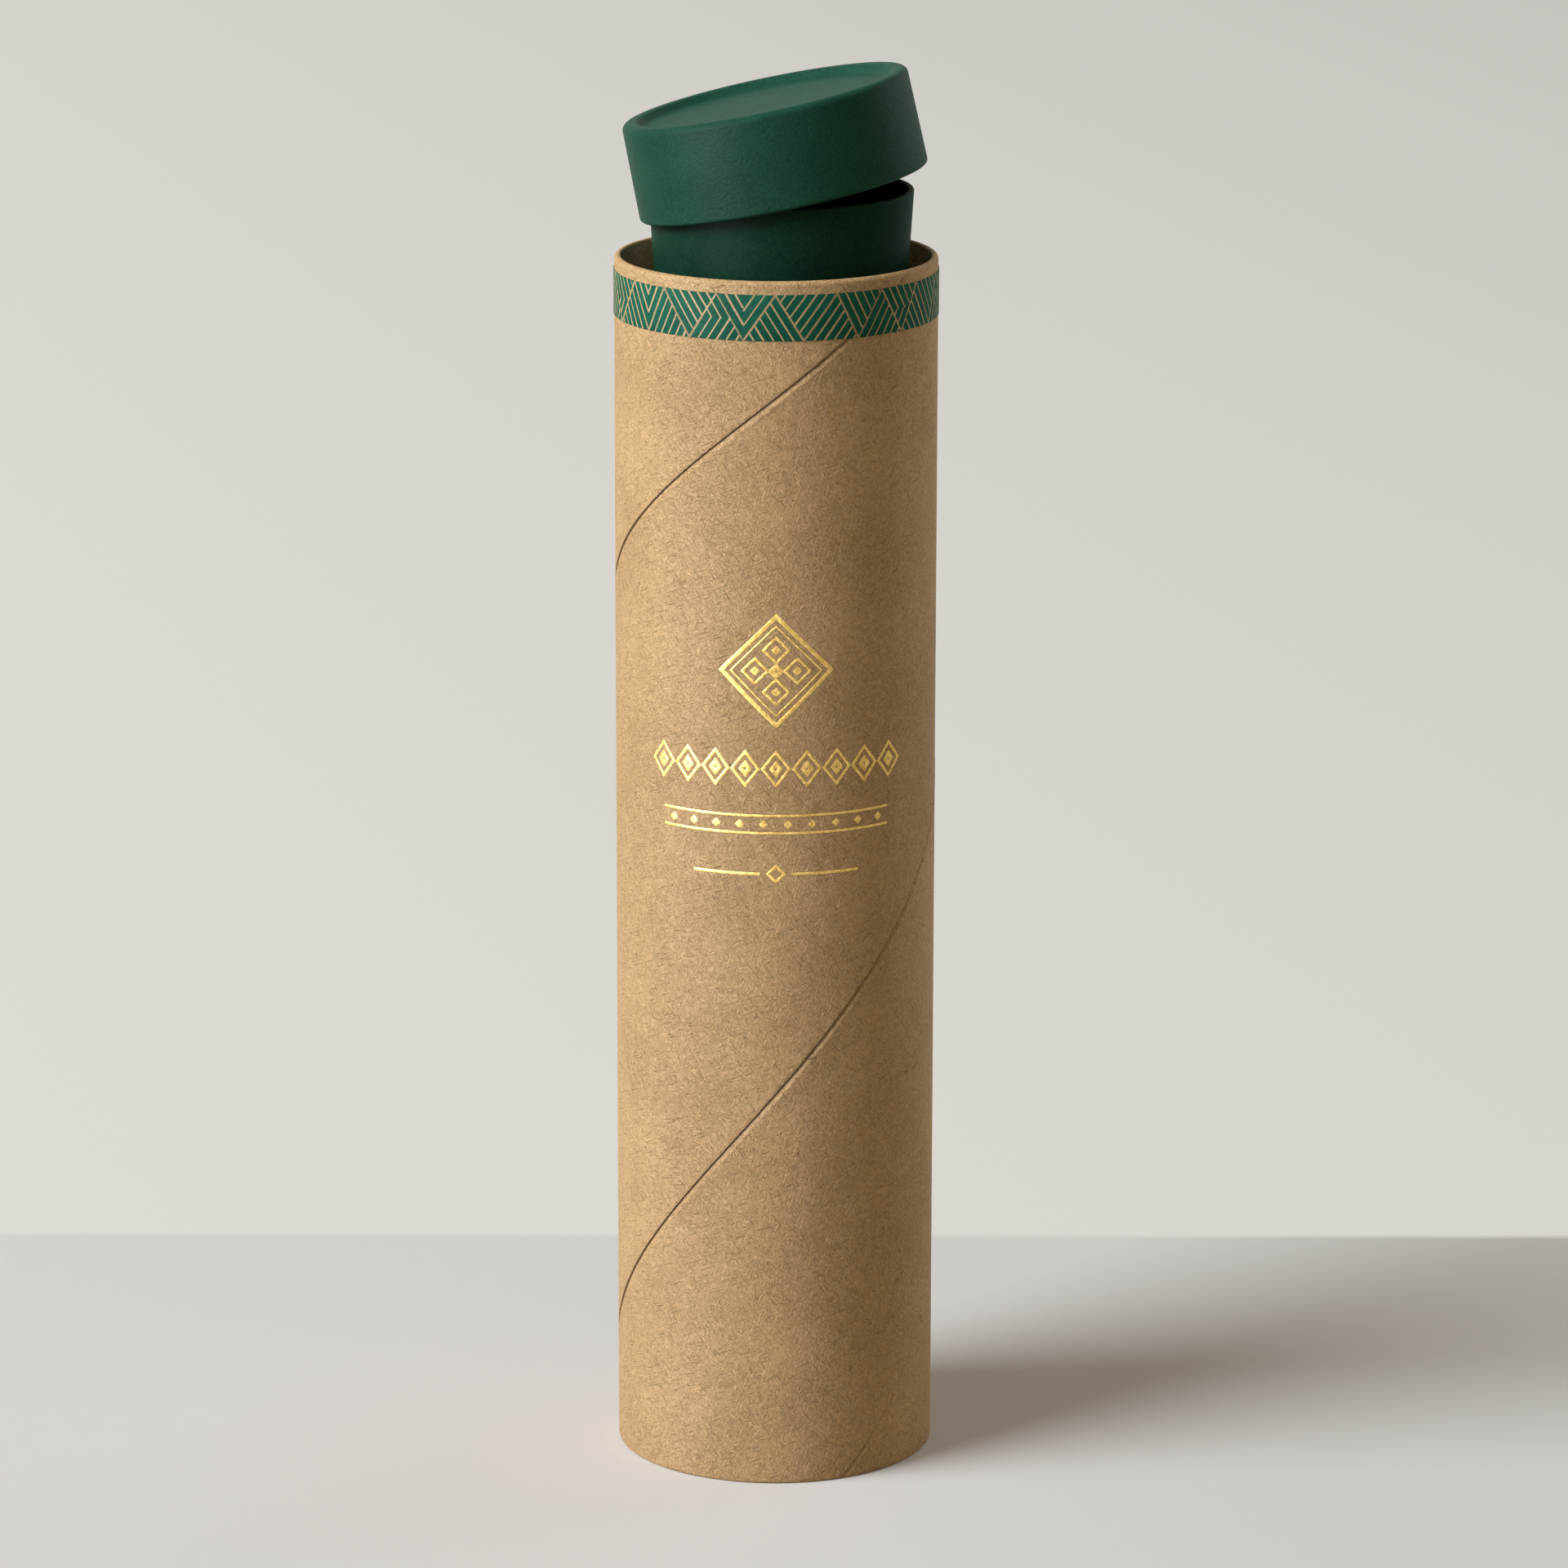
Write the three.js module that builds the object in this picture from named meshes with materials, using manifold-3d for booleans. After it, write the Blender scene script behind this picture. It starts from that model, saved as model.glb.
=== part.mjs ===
// Kraft paper tube with a green inner tube and a lid that sits cocked on the inner tube's mouth.
// Millimetres, +Z up. The origin is the centre of the tube's foot on the table.
// +X is to the right and -Y is the front, where an azimuth of 0 degrees lies.

import * as THREE from 'three';
import { mergeVertices } from 'three/addons/utils/BufferGeometryUtils.js';
import Module from 'manifold-3d';

// Driving dimensions: outer tube
const TUBE_LENGTH = 304.8;          // 12 inch mailing tube
const TUBE_BORE = 76.2;             // 3 inch bore
const TUBE_WALL = 1.65;
const LIP_OUTER_ROUND = 1.1;        // the curled lip, outside and inside
const LIP_INNER_ROUND = 0.5;
const FOOT_ROUND = 0.6;
const FOOT_INNER_ROUND = 0.25;

// Driving dimensions: the two butt seams of the spiral winding
const SEAM_RADIUS = 0.4;            // half the width of the groove, and its depth
const SEAM_RUN_OUT = 4;             // the groove is cut this far past both ends of the tube
const SEAM_A_FOOT_AZIMUTH = -123;   // degrees, where seam A leaves the foot
const SEAM_A_RISE = 0.824;          // rise of seam A for each degree round the tube
const SEAM_B_FOOT_AZIMUTH = -335;   // degrees, where seam B leaves the foot
const SEAM_B_TURN = 389;            // degrees that seam B winds from foot to lip
const SEAM_B_FOOT_RISE = 0.741;     // rise for each degree at the foot
const SEAM_B_LIP_RISE = 0.507;      // rise for each degree at the lip
const SEAM_B_FOOT_HOLD = 0.272;     // share of the turn over which the foot's rise is kept
const SEAM_B_LIP_HOLD = 0.73;       // share of the turn over which the lip's rise is kept

// Driving dimensions: printed paper band
const BAND_WIDTH = 11.2;
const BAND_DROP = 3.2;              // bare kraft between the lip and the band
const BAND_PAPER = 0.15;
const GLUE_LINE = 0.05;

// Driving dimensions: closing discs
const DISC_BOARD = 1.4;
const DISC_FLANGE = 1;
const DISC_RECESS = 3.5;            // underside of the disc above its tube's foot
const FLANGE_SETBACK = 0.6;         // the flange ends this far inside the foot
const DISC_ROUND = 0.8;
const DISC_PLAY = 0.15;             // glue space between the flange and its tube
const SEAT_GAP = 0.25;              // under the inner tube's foot

// Driving dimensions: inner tube
const RING_GAP = 7.25;              // between the bore and the inner tube's straight body
const INNER_WALL = 1.4;
const INNER_PROUD = 16.3;           // mouth above the outer tube's lip
const INNER_SHIFT = 1.2;            // the inner tube stands this far to the right
const FLARE_RUN = 26;
const FLARE_ANGLE = 3.77;           // degrees
const MOUTH_ROUND = 0.5;

// Driving dimensions: lid
const LID_PLAY = 1.2;               // between the lid's wall and the inner tube's mouth, all round
const LID_WALL = 2.2;
const LID_HEIGHT = 24.1;
const LID_TAPER = 0.8;              // degrees, narrower at the top
const LID_BOARD = 2;
const LID_RECESS = 2;
const RIM_WIDTH = 3.6;
const RIM_OUTER_ROUND = 1.7;
const RIM_INNER_ROUND = 1.4;
const RECESS_ROUND = 2.4;
const LID_INNER_ROUND = 1.5;
const LID_MOUTH_ROUND = 0.9;
const LID_LEAN = 11.86;             // degrees, right side up
const LID_NOD = -1.45;              // degrees about X, back edge up when positive
const LID_HOOK = 7.8;               // the low side reaches this far under the inner tube's mouth
const LID_CLEARANCE = 0.3;          // between the low mouth edge and the inner tube's wall

// Facets
const TUBE_SIDES = 72;
const INNER_SIDES = 56;
const LID_SIDES = 56;
const DISC_SIDES = 40;
const ARC_STEPS = 2;
const FINE_ARC_STEPS = 4;
const SEAM_SIDES = 6;
const SEAM_STEPS_PER_TURN = 48;

// Sizes that follow
const rad = THREE.MathUtils.degToRad;
const tubeInnerRadius = TUBE_BORE / 2;
const tubeOuterRadius = tubeInnerRadius + TUBE_WALL;
const discTop = DISC_RECESS + DISC_BOARD;
const innerFoot = discTop + SEAT_GAP;
const innerTop = TUBE_LENGTH + INNER_PROUD;
const innerBodyRadius = tubeInnerRadius - RING_GAP;
const flareSlope = Math.tan(rad(FLARE_ANGLE));
const innerMouthRadius = innerBodyRadius + FLARE_RUN * flareSlope;
const lidInnerRadius = innerMouthRadius + LID_PLAY;
const lidOuterRadius = lidInnerRadius + LID_WALL;

const wasm = await Module();
wasm.setup();

// A closed profile or an open one, as corners { r, z, round, steps }, where round is the fillet radius.
// Each fillet is an arc that touches both edges of its corner, from one tangent point to the other.
function roundCorners(corners, closed) {
  const points = [];
  const last = corners.length - 1;
  corners.forEach((corner, index) => {
    const here = new THREE.Vector2(corner.r, corner.z);
    const isEnd = !closed && (index === 0 || index === last);
    if (isEnd || !corner.round) {
      points.push(here);
      return;
    }
    const before = corners[(index + last) % corners.length];
    const after = corners[(index + 1) % corners.length];
    const back = new THREE.Vector2(before.r, before.z).sub(here).normalize();
    const ahead = new THREE.Vector2(after.r, after.z).sub(here).normalize();
    const halfAngle = Math.acos(THREE.MathUtils.clamp(back.dot(ahead), -1, 1)) / 2;
    const centreDistance = corner.round / Math.sin(halfAngle);
    const centre = back.clone().add(ahead).normalize().multiplyScalar(centreDistance).add(here);
    const touch = corner.round / Math.tan(halfAngle);
    const from = back.clone().multiplyScalar(touch).add(here).sub(centre);
    const to = ahead.clone().multiplyScalar(touch).add(here).sub(centre);
    const turn = Math.atan2(from.cross(to), from.dot(to));
    const steps = corner.steps ?? ARC_STEPS;
    for (let step = 0; step <= steps; step += 1) {
      points.push(from.clone().rotateAround(new THREE.Vector2(), (turn * step) / steps).add(centre));
    }
  });
  if (closed) {
    points.push(points[0].clone());
  }
  return points;
}

// The profile turned about Z, with its shared vertices merged.
function turned(corners, sides, closed = true) {
  const lathe = new THREE.LatheGeometry(roundCorners(corners, closed), sides);
  lathe.rotateX(Math.PI / 2);
  return weld(lathe);
}

function weld(geometry) {
  geometry.deleteAttribute('normal');
  geometry.deleteAttribute('uv');
  const welded = mergeVertices(geometry, 1e-5);
  const corner = welded.index.array;
  const kept = [];
  for (let at = 0; at < corner.length; at += 3) {
    const [a, b, c] = corner.slice(at, at + 3);
    if (a !== b && b !== c && c !== a) {
      kept.push(a, b, c);
    }
  }
  welded.setIndex(kept);
  return welded;
}

function toSolid(geometry) {
  return new wasm.Manifold(new wasm.Mesh({
    numProp: 3,
    vertProperties: new Float32Array(geometry.attributes.position.array),
    triVerts: new Uint32Array(geometry.index.array),
  }));
}

function toGeometry(solid) {
  const mesh = solid.getMesh();
  const geometry = new THREE.BufferGeometry();
  geometry.setAttribute('position', new THREE.BufferAttribute(mesh.vertProperties, 3));
  geometry.setIndex(new THREE.BufferAttribute(mesh.triVerts, 1));
  return geometry;
}

function named(name, geometry, colour, roughness) {
  const shaded = geometry.clone();
  shaded.computeVertexNormals();
  const material = new THREE.MeshStandardMaterial({ color: colour, roughness, metalness: 0 });
  const mesh = new THREE.Mesh(shaded, material);
  mesh.name = name;
  return mesh;
}

// Outer tube: a spiral-wound kraft wall with a curled lip, an eased foot and two winding seams.
// A seam is a line on the wall, given by its height over the angle that it has wound.
class WindingSeam extends THREE.Curve {
  constructor(line) {
    super();
    this.line = line;
  }

  getPoint(t, target = new THREE.Vector3()) {
    const { x: degrees, y: height } = this.line.getPoint(t);
    const azimuth = rad(degrees);
    return target.set(
      tubeOuterRadius * Math.sin(azimuth),
      -tubeOuterRadius * Math.cos(azimuth),
      height,
    );
  }
}

function seamCut(line) {
  const path = new WindingSeam(line);
  const turnDegrees = Math.abs(line.getPoint(1).x - line.getPoint(0).x);
  const section = new THREE.Shape();
  section.absarc(0, 0, SEAM_RADIUS, 0, 2 * Math.PI);
  const cord = new THREE.ExtrudeGeometry(section, {
    curveSegments: SEAM_SIDES,
    steps: Math.round((turnDegrees / 360) * SEAM_STEPS_PER_TURN),
    extrudePath: path,
  });
  return toSolid(weld(cord));
}

// Seam A winds evenly. Seam B winds steeper at the foot and flatter at the lip.
function seamLines() {
  const evenLow = new THREE.Vector2(
    SEAM_A_FOOT_AZIMUTH - SEAM_RUN_OUT / SEAM_A_RISE,
    -SEAM_RUN_OUT,
  );
  const evenHigh = new THREE.Vector2(
    SEAM_A_FOOT_AZIMUTH + (TUBE_LENGTH + SEAM_RUN_OUT) / SEAM_A_RISE,
    TUBE_LENGTH + SEAM_RUN_OUT,
  );
  const low = new THREE.Vector2(SEAM_B_FOOT_AZIMUTH, 0);
  const high = new THREE.Vector2(SEAM_B_FOOT_AZIMUTH + SEAM_B_TURN, TUBE_LENGTH);
  const footHold = SEAM_B_TURN * SEAM_B_FOOT_HOLD;
  const lipHold = SEAM_B_TURN * SEAM_B_LIP_HOLD;
  const rising = new THREE.CurvePath();
  const underFoot = new THREE.Vector2(low.x - SEAM_RUN_OUT / SEAM_B_FOOT_RISE, -SEAM_RUN_OUT);
  const overLip = new THREE.Vector2(
    high.x + SEAM_RUN_OUT / SEAM_B_LIP_RISE,
    high.y + SEAM_RUN_OUT,
  );
  rising.add(new THREE.LineCurve(underFoot, low));
  rising.add(new THREE.CubicBezierCurve(
    low,
    new THREE.Vector2(low.x + footHold, low.y + footHold * SEAM_B_FOOT_RISE),
    new THREE.Vector2(high.x - lipHold, high.y - lipHold * SEAM_B_LIP_RISE),
    high,
  ));
  rising.add(new THREE.LineCurve(high, overLip));
  return [new THREE.LineCurve(evenLow, evenHigh), rising];
}

function outerTube() {
  const wall = toSolid(turned([
    { r: tubeInnerRadius, z: 0, round: FOOT_INNER_ROUND },
    { r: tubeOuterRadius, z: 0, round: FOOT_ROUND },
    { r: tubeOuterRadius, z: TUBE_LENGTH, round: LIP_OUTER_ROUND, steps: FINE_ARC_STEPS },
    { r: tubeInnerRadius, z: TUBE_LENGTH, round: LIP_INNER_ROUND },
  ], TUBE_SIDES));
  const cut = seamLines().reduce((rest, line) => rest.subtract(seamCut(line)), wall);
  return toGeometry(cut);
}

// Printed band: a strip of kraft paper glued round the wall under the lip.
function printedBand() {
  const inner = tubeOuterRadius + GLUE_LINE;
  const outer = inner + BAND_PAPER;
  const top = TUBE_LENGTH - BAND_DROP;
  const bottom = top - BAND_WIDTH;
  return turned([
    { r: inner, z: bottom },
    { r: outer, z: bottom },
    { r: outer, z: top },
    { r: inner, z: top },
  ], TUBE_SIDES);
}

// Closing disc: board pressed up inside a tube's foot, its flange turned down and glued to the wall.
// Heights are counted from the foot of the tube that it closes.
function closingDisc(boreRadius) {
  const outer = boreRadius - DISC_PLAY;
  const inner = outer - DISC_FLANGE;
  return turned([
    { r: 0, z: DISC_RECESS },
    { r: inner, z: DISC_RECESS, round: DISC_ROUND / 2 },
    { r: inner, z: FLANGE_SETBACK },
    { r: outer, z: FLANGE_SETBACK },
    { r: outer, z: discTop, round: DISC_ROUND },
    { r: 0, z: discTop },
  ], DISC_SIDES, false);
}

// Inner tube: straight green wall that flares out to its mouth. Heights are counted from its foot.
function innerTube() {
  const top = innerTop - innerFoot;
  const flareStart = top - FLARE_RUN;
  const flareRound = FLARE_RUN * 4;
  const bore = innerBodyRadius - INNER_WALL;
  return turned([
    { r: bore, z: 0, round: FOOT_INNER_ROUND },
    { r: innerBodyRadius, z: 0, round: FOOT_ROUND },
    { r: innerBodyRadius, z: flareStart, round: flareRound },
    { r: innerMouthRadius, z: top, round: MOUTH_ROUND },
    { r: innerMouthRadius - INNER_WALL, z: top, round: MOUTH_ROUND },
    { r: bore, z: flareStart, round: flareRound },
  ], INNER_SIDES);
}

// Lid: one moulded cap with a rolled rim round a recessed top. Its mouth plane is at z = 0.
function lidShell() {
  const top = LID_HEIGHT;
  const narrowing = top * Math.tan(rad(LID_TAPER));
  const rimRadius = lidOuterRadius - narrowing;
  const recessRadius = rimRadius - RIM_WIDTH;
  const ceiling = top - LID_RECESS - LID_BOARD;
  return turned([
    { r: 0, z: ceiling },
    { r: lidInnerRadius, z: ceiling, round: LID_INNER_ROUND },
    { r: lidInnerRadius, z: 0, round: LID_MOUTH_ROUND / 2 },
    { r: lidOuterRadius, z: 0, round: LID_MOUTH_ROUND },
    { r: rimRadius, z: top, round: RIM_OUTER_ROUND, steps: FINE_ARC_STEPS },
    { r: recessRadius, z: top, round: RIM_INNER_ROUND, steps: FINE_ARC_STEPS },
    { r: recessRadius - LID_RECESS, z: top - LID_RECESS, round: RECESS_ROUND },
    { r: 0, z: top - LID_RECESS },
  ], LID_SIDES, false);
}

// Assembly
const kraft = 0xc49b68;
const green = 0x23553f;
const bandGreen = 0x14644b;

const upright = new THREE.Group();
upright.add(named('outer_tube', outerTube(), kraft, 0.85));
upright.add(named('printed_band', printedBand(), bandGreen, 0.75));
upright.add(named('base_disc', closingDisc(tubeInnerRadius), kraft, 0.9));

const inner = new THREE.Group();
inner.position.set(INNER_SHIFT, 0, innerFoot);
inner.add(named('inner_tube', innerTube(), green, 0.7));
inner.add(named('inner_base_disc', closingDisc(innerBodyRadius - INNER_WALL), green, 0.8));

// The lid's low mouth edge stands off the flared wall at the hook's height, and the lean turns it there.
const hookHeight = innerTop - LID_HOOK;
const wallAtHook = innerMouthRadius - LID_HOOK * flareSlope;
const hookX = INNER_SHIFT - wallAtHook - LID_CLEARANCE;
const cocked = new THREE.Group();
cocked.position.set(
  hookX + lidInnerRadius * Math.cos(rad(LID_LEAN)),
  0,
  hookHeight + lidInnerRadius * Math.sin(rad(LID_LEAN)),
);
cocked.rotation.set(rad(LID_NOD), -rad(LID_LEAN), 0, 'XYZ');
cocked.add(named('lid', lidShell(), green, 0.65));

const kraftTube = new THREE.Group();
kraftTube.add(upright, inner, cocked);

export default kraftTube;
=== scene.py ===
import math

import bmesh
import bpy
import numpy as np
from mathutils import Matrix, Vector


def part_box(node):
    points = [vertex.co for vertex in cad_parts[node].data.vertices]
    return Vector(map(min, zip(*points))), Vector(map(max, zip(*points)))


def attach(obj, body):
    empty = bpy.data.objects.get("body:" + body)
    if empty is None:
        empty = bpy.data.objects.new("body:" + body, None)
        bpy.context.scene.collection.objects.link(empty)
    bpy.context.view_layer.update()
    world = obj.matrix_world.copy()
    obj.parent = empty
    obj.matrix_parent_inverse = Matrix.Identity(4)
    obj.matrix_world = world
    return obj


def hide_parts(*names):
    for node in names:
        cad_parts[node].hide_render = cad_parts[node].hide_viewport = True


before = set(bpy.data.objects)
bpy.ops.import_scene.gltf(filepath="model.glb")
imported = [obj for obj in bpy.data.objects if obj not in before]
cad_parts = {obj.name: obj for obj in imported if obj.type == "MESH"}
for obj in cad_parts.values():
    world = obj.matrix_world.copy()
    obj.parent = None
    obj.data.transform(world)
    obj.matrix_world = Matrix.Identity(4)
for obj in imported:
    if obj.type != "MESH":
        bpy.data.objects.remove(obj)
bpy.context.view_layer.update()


# Outer tube
# The real piece is a wall of kraft plies, glued and wound in a spiral, with two butt seams showing.
# Its lip is curled and pressed round, its foot is cut and eased, and the paper is left bare.
MM = 0.001
tube_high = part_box("outer_tube")[1]
tube_radius = tube_high.x
tube_length = tube_high.z
tube_wall = 1.65 * MM
tube_bore = tube_radius - tube_wall
lip_round = 1.1 * MM
lip_inner_round = 0.5 * MM
foot_round = 0.6 * MM
foot_inner_round = 0.25 * MM
tube_columns = 480
seam_section = MM * np.array([(-2, 0), (-1.15, 0.07), (-0.12, -0.36), (0, -0.44),
                              (0.22, -0.02), (0.7, 0.05), (1.6, 0)])
# Painted shade: the span across a seam where its groove is darkened in colour, from start to full and
# back.
seam_shade_span = MM * np.array([-0.16, -0.03, 0.2, 0.32])
seam_hairline = 0.35
seam_hairline_top = 60 * MM
seam_full_from = 105 * MM
metres_per_degree = tube_radius * math.pi / 180
seam_a_foot = -123.0
seam_a_rise = 0.824 * MM
seam_b_low = np.array([-335.0, 0.0])
seam_b_high = np.array([54.0, tube_length])
seam_b_low_pull = 105.8 * np.array([1.0, 0.741 * MM])
seam_b_high_pull = 284.0 * np.array([1.0, 0.507 * MM])
seam_b_samples = 2001


def seam_a_height(degrees):
    """Height of seam A at an angle: it rises evenly from the foot, so it is straight when unrolled."""
    return (degrees - seam_a_foot) * seam_a_rise


def seam_b_height(degrees):
    """Height of seam B at an angle: a cubic Bezier in angle and height, from its foot end to its lip
    end, read at the angle asked for, and carried on straight past both ends."""
    t = np.linspace(0, 1, seam_b_samples)[:, None]
    line = ((1 - t) ** 3 * seam_b_low + 3 * t * (1 - t) ** 2 * (seam_b_low + seam_b_low_pull)
            + 3 * t * t * (1 - t) * (seam_b_high - seam_b_high_pull) + t ** 3 * seam_b_high)
    inside = np.interp(degrees, line[:, 0], line[:, 1])
    below = np.minimum(degrees - seam_b_low[0], 0) * seam_b_low_pull[1] / seam_b_low_pull[0]
    above = np.maximum(degrees - seam_b_high[0], 0) * seam_b_high_pull[1] / seam_b_high_pull[0]
    return inside + below + above


def across_seam(height_of, degrees, height):
    """Distance of a point from a seam, square to it on the unrolled wall: the height above the seam
    times the cosine of the seam's slope there."""
    step = 0.5
    slope = (height_of(degrees + step) - height_of(degrees - step)) / (2 * step * metres_per_degree)
    return (height - height_of(degrees)) / np.hypot(1, slope)


def seam_relief(degrees, height):
    """How far the wall stands out at a point, and how much painted shade darkens the seam's groove
    there:
    the seam's section, which falls steeply from its upper edge and climbs back gently to its lower one,
    read at the distance from each turn of both seams. Seam B fades to a hairline near the foot."""
    relief = np.zeros(np.broadcast(degrees, height).shape)
    groove_shade = np.zeros_like(relief)
    for height_of in (seam_a_height, seam_b_height):
        strength = 1.0
        if height_of is seam_b_height:
            strength = np.interp(height, [seam_hairline_top, seam_full_from], [seam_hairline, 1])
        for turn in (-2, -1, 0, 1, 2):
            away = across_seam(height_of, degrees + 360 * turn, height)
            relief += strength * np.interp(away, *seam_section.T)
            groove_shade = np.maximum(groove_shade, strength * np.interp(away, seam_shade_span, [0, 1, 1, 0]))
    return relief, groove_shade


def rounded(corners, steps=8):
    """A profile of (radius, height, fillet) corners as points. Each fillet is the arc of its radius that
    touches both edges of its corner, with its points spaced evenly by angle. Both ends stay sharp."""
    points = [np.array(corners[0][:2], float)]
    for before, here, after in zip(corners, corners[1:], corners[2:]):
        corner = np.array(here[:2], float)
        if here[2] == 0:
            points.append(corner)
            continue
        back = np.array(before[:2], float) - corner
        ahead = np.array(after[:2], float) - corner
        back /= np.hypot(*back)
        ahead /= np.hypot(*ahead)
        half = math.acos(np.clip(back @ ahead, -1, 1)) / 2
        middle = (back + ahead) / np.hypot(*(back + ahead))
        centre = corner + middle * here[2] / math.sin(half)
        start = corner + back * here[2] / math.tan(half) - centre
        turn = (math.pi - 2 * half) * np.sign(np.cross(start, middle * -1))
        angle = turn * np.linspace(0, 1, steps + 1)
        points.extend(centre + np.stack([start[0] * np.cos(angle) - start[1] * np.sin(angle),
                                         start[0] * np.sin(angle) + start[1] * np.cos(angle)], axis=1))
    points.append(np.array(corners[-1][:2], float))
    return np.array(points)


def on_cylinder(radius, degrees, height):
    """A point at a radius, an angle from the front and a height."""
    angle = np.radians(degrees)
    x, y = radius * np.sin(angle), -radius * np.cos(angle)
    return np.stack(np.broadcast_arrays(x, y, height), axis=-1)


def grid_faces(rows, columns, first=0):
    """The quads of a grid whose point (row, column) is vertex first + row * columns + column."""
    row, column = np.mgrid[0:rows - 1, 0:columns - 1]
    corner = first + row * columns + column
    return np.stack([corner, corner + 1, corner + columns + 1, corner + columns], axis=-1).reshape(-1, 4)


def make_piece(name, sheets, sharp=math.radians(50)):
    """One mesh from several grids, each (points, unrolled) or (points, unrolled, groove_shade) with the
    same rows and columns. Points that meet are merged, which closes seams and poles, and the faces are
    turned to point outwards. The groove shade, painted shade in the seams' grooves, goes into a point
    attribute that materials can read."""
    points, unrolled, groove_shades, faces, count = [], [], [], [], 0
    for grid, flat, *groove_shade in sheets:
        rows, columns = grid.shape[:2]
        faces.append(grid_faces(rows, columns, count))
        points.append(grid.reshape(-1, 3))
        unrolled.append(np.broadcast_to(flat, (rows, columns, 2)).reshape(-1, 2))
        groove_shades.append(np.broadcast_to(groove_shade[0] if groove_shade else 0.0, (rows, columns)).ravel())
        count += rows * columns
    faces = np.concatenate(faces)
    mesh = bpy.data.meshes.new(name)
    mesh.from_pydata(np.concatenate(points).tolist(), [], faces.tolist())
    layer = mesh.uv_layers.new(name="unrolled")
    layer.data.foreach_set("uv", np.concatenate(unrolled)[faces.ravel()].ravel())
    mesh.attributes.new("groove_shade", "FLOAT", "POINT").data.foreach_set("value", np.concatenate(groove_shades))
    shape = bmesh.new()
    shape.from_mesh(mesh)
    bmesh.ops.remove_doubles(shape, verts=shape.verts, dist=2e-6)
    bmesh.ops.dissolve_degenerate(shape, edges=shape.edges, dist=1e-7)
    bmesh.ops.recalc_face_normals(shape, faces=shape.faces)
    shape.to_mesh(mesh)
    shape.free()
    mesh.polygons.foreach_set("use_smooth", [True] * len(mesh.polygons))
    mesh.set_sharp_from_angle(angle=sharp)
    piece = bpy.data.objects.new(name, mesh)
    bpy.context.scene.collection.objects.link(piece)
    return piece


def finish_piece(piece, material, body, slot, *nodes):
    """Gives a piece its material and its body, and hides the nodes that it stands for. The argument slot
    is not used.
    """
    piece.data.materials.append(material)
    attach(piece, body)
    if nodes:
        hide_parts(*nodes)


def wound_wall(low, high):
    """The outer face of the tube as strips between neighbouring seam lines. Rows of a strip crowd beside
    both of its seams and spread evenly between them, and heights outside the wall are cut to its ends.
    Unrolled, a strip keeps counting degrees from turn to turn, so its grain runs on past the back."""
    degrees = np.linspace(-180, 180, tube_columns + 1)[None, :]
    above_seam = np.array([0, 0.11, 0.22, 0.4, 0.7, 1.1, 1.6])[:, None] * MM
    below_seam = np.array([0, 0.06, 0.14, 0.5, 0.85, 1.15, 1.5, 2.0])[:, None] * MM
    spread = np.linspace(0, 1, 13)[1:-1, None]
    lines = [(height_of, turn) for turn in (-1, 0, 1) for height_of in (seam_a_height, seam_b_height)]
    strips = []
    for (low_of, low_turn), (high_of, high_turn) in zip(lines, lines[1:]):
        bottom = low_of(degrees + 360 * low_turn)
        top = high_of(degrees + 360 * high_turn)
        lean_low = bottom - low_of(degrees + 360 * low_turn - 1)
        lean_high = top - high_of(degrees + 360 * high_turn - 1)
        rise_low = above_seam * np.hypot(1, lean_low / metres_per_degree)
        rise_high = below_seam * np.hypot(1, lean_high / metres_per_degree)
        inner_low = bottom + rise_low[-1]
        inner_high = top - rise_high[-1]
        rows = np.concatenate([bottom + rise_low, inner_low + spread * (inner_high - inner_low),
                               (top - rise_high)[::-1]])
        height = np.clip(rows, low, high)
        relief, groove_shade = seam_relief(degrees, height)
        flat = np.stack(np.broadcast_arrays((degrees + 360 * low_turn) * metres_per_degree, height), -1)
        strips.append((on_cylinder(tube_radius + relief, degrees, height), flat, groove_shade))
    return strips


def turned(profile, columns, ease=None):
    """A profile of (radius, height) points turned about Z, row by row. ease, if given, changes the
    radius at each angle and height. Unrolled, it is the way round by the way along the profile."""
    degrees = np.linspace(-180, 180, columns + 1)[None, :]
    radius, height = profile[:, :1], profile[:, 1:]
    along = np.concatenate([[0], np.cumsum(np.hypot(*np.diff(profile, axis=0).T))])[:, None]
    flat = np.stack(np.broadcast_arrays(np.radians(degrees) * np.max(radius), along), -1)
    return on_cylinder(radius + (0 if ease is None else ease(degrees, height)), degrees, height), flat


def lip_and_foot_ease(degrees, height):
    """The seams' relief carried round the lip and the foot, fading out over the height of each round."""
    over_lip = np.clip((height - wall_high) / lip_round, 0, 1)
    under_foot = np.clip((wall_low - height) / foot_round, 0, 1)
    return seam_relief(degrees, height)[0] * (1 - (over_lip + under_foot)) ** 2


wall_low = foot_round
wall_high = tube_length - lip_round
lip_profile = rounded([(tube_radius, wall_high, 0), (tube_radius, tube_length, lip_round),
                       (tube_bore, tube_length, lip_inner_round), (tube_bore, wall_high, 0)], 12)
foot_profile = rounded([(tube_radius, wall_low, 0), (tube_radius, 0, foot_round),
                        (tube_bore, 0, foot_inner_round), (tube_bore, wall_low, 0)], 6)
bore_heights = np.linspace(wall_low, wall_high, 25)
bore_profile = np.stack([np.full_like(bore_heights, tube_bore), bore_heights], axis=1)
outer_tube = make_piece("wound_tube", [
    *wound_wall(wall_low, wall_high),
    turned(lip_profile, tube_columns,
           lambda degrees, height: np.where(lip_profile[:, :1] > tube_radius - lip_round,
                                            lip_and_foot_ease(degrees, height), 0)),
    turned(foot_profile, tube_columns,
           lambda degrees, height: np.where(foot_profile[:, :1] > tube_radius - foot_round,
                                            lip_and_foot_ease(degrees, height), 0)),
    turned(bore_profile, tube_columns),
])


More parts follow.
